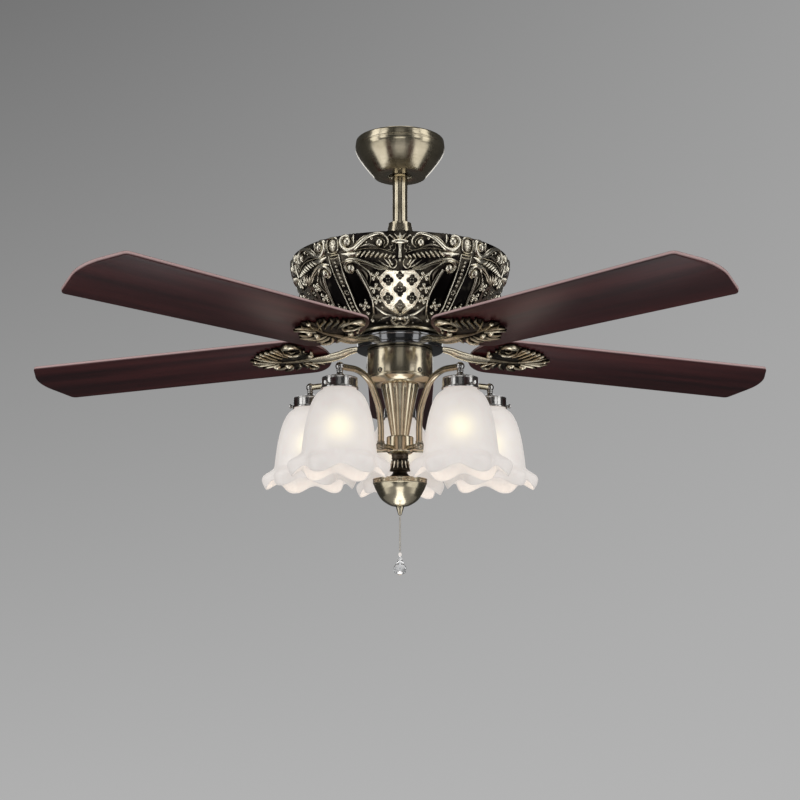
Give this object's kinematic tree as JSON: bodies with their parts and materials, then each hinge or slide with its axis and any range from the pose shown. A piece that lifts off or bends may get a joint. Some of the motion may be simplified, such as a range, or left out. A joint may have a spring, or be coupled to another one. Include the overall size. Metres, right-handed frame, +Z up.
{
  "type": "ceiling fan with light",
  "caption": "Traditional ceiling fan: brass canopy and downrod, ornate cast motor bowl, long dark wood blades on leaf irons, curved lamp arms with ruffled frosted bell shades and a pull chain.",
  "frame": {"origin": "middle of the hanger bracket's top face, in the plane of the ceiling", "axes": "+Z up, out of the fan into the ceiling; the fan hangs along -Z; -Y towards a viewer in front of it; +X to that viewer's right"},
  "size_m": [1.263, 1.2107, 0.709],
  "materials": {
    "steel": "satin",
    "antique_brass": "satin",
    "cast_brass": "satin",
    "cast_iron_leaf": "satin",
    "dark_ornament": "gloss",
    "painted_steel": "satin",
    "black_nickel": "polished",
    "black_hub": "polished",
    "dark_wood": "gloss",
    "frosted_glass": "satin",
    "bulb_glass": "satin",
    "bead_chain": "polished",
    "clear_crystal": "polished"
  },
  "bodies": {
    "ceiling": {"hanger_bracket": "steel", "canopy": "antique_brass", "canopy_screw_left": "steel", "canopy_screw_right": "steel"},
    "hanging": {"hanger_ball": "painted_steel", "ball_cross_pin": "steel", "downrod": "antique_brass", "yoke": "painted_steel", "yoke_clevis_pin": "steel", "yoke_cover": "antique_brass", "housing_lid": "cast_brass", "motor_housing": "cast_brass", "motor_shaft": "steel", "stator": "steel", "switch_housing_plate": "painted_steel", "switch_housing": "antique_brass", "fitter_plate": "antique_brass", "vase": "antique_brass", "arm_hub": "antique_brass", "finial_neck": "dark_ornament", "bowl_lid": "antique_brass", "finial_bowl": "antique_brass", "pull_switch": "painted_steel", "chain_spout": "antique_brass", "light_arm_1": "antique_brass", "light_arm_2": "antique_brass", "light_arm_3": "antique_brass", "light_arm_4": "antique_brass", "light_arm_5": "antique_brass", "lamp_holder_1": "black_nickel", "lamp_holder_2": "black_nickel", "lamp_holder_3": "black_nickel", "lamp_holder_4": "black_nickel", "lamp_holder_5": "black_nickel", "bulb_1": "bulb_glass", "bulb_2": "bulb_glass", "bulb_3": "bulb_glass", "bulb_4": "bulb_glass", "bulb_5": "bulb_glass", "shade_1": "frosted_glass", "shade_2": "frosted_glass", "shade_3": "frosted_glass", "shade_4": "frosted_glass", "shade_5": "frosted_glass"},
    "rotor": {"rotor_shell": "painted_steel", "bearing_upper": "steel", "bearing_lower": "steel", "blade_hub": "black_hub", "blade_iron_1": "cast_iron_leaf", "blade_iron_2": "cast_iron_leaf", "blade_iron_3": "cast_iron_leaf", "blade_iron_4": "cast_iron_leaf", "blade_iron_5": "cast_iron_leaf", "blade_1": "dark_wood", "blade_2": "dark_wood", "blade_3": "dark_wood", "blade_4": "dark_wood", "blade_5": "dark_wood"},
    "chain": {"pull_chain": "bead_chain", "crystal": "clear_crystal"}
  },
  "joints": [
    {"name": "fan_swing", "type": "hinge", "parent": "ceiling", "child": "hanging", "pos_m": [0, 0, -0.029], "axis": [0, 1, 0], "range_deg": [-8, 8]},
    {"name": "rotor_spin", "type": "hinge", "parent": "hanging", "child": "rotor", "pos_m": [0, 0, 0], "axis": [0, 0, 1], "continuous": true},
    {"name": "chain_pull", "type": "slide", "parent": "hanging", "child": "chain", "axis": [0, 0, -1], "range_m": [0, 0.012], "stiffness_N_per_m": 400, "springref_m": -0.003}
  ]
}
